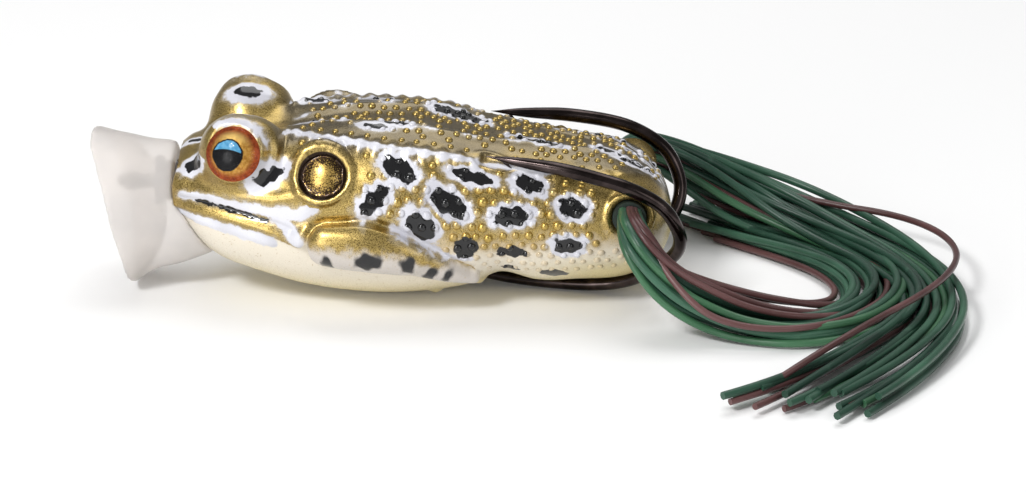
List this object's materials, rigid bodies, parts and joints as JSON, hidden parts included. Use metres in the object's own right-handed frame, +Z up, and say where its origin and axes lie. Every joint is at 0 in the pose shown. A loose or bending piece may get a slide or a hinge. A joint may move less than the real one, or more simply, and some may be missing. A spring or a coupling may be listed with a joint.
{
  "type": "topwater popper",
  "caption": "Hollow soft-bodied frog lure with a clear popper cup, a double hook folded against its back and strand skirts for legs.",
  "frame": {"origin": "centre of the lure's footprint, without its skirt strands, on the surface that it stands on", "axes": "+X from the nose to the tail, +Z up, the frog's left side faces -Y"},
  "size_m": [0.1155, 0.0761, 0.0262],
  "materials": {
    "painted_skin": "painted soft plastic, gold, white and black under a clear coat",
    "milky_soft_plastic": "unpainted translucent soft plastic",
    "grey_plastic": "moulded grey plastic",
    "black_nickel": "black nickel plate on high carbon steel",
    "lead": "cast lead",
    "green_strands": "glossy rubber strands",
    "black_rubber": "plain rubber",
    "eye_paint": "printed iris, gold to orange with a dark pupil",
    "clear_dome": "clear glossy dome",
    "brown_strands": "glossy rubber strands"
  },
  "bodies": {
    "lure_body": {"body_shell": "painted_skin", "popper_cup": "milky_soft_plastic", "nose_ferrule": "grey_plastic", "left_eye_disc": "eye_paint", "left_eye_lens": "clear_dome", "right_eye_disc": "eye_paint", "right_eye_lens": "clear_dome"},
    "hook": {"double_hook": "black_nickel", "keel_weight": "lead"},
    "skirt": {"skirt_core": "green_strands", "skirt_collar": "black_rubber", "left_leg_green": "green_strands", "left_leg_brown": "brown_strands", "right_leg_green": "green_strands", "right_leg_brown": "brown_strands"}
  },
  "joints": [
    {"name": "hook_slide", "type": "slide", "parent": "lure_body", "child": "hook", "axis": [1, 0, 0], "range_m": [0, 0.0012]},
    {"name": "skirt_swing", "type": "hinge", "parent": "lure_body", "child": "skirt", "pos_m": [0.03238, 0, 0.01382], "axis": [0, 1, 0], "range_deg": [-60, 60]}
  ]
}
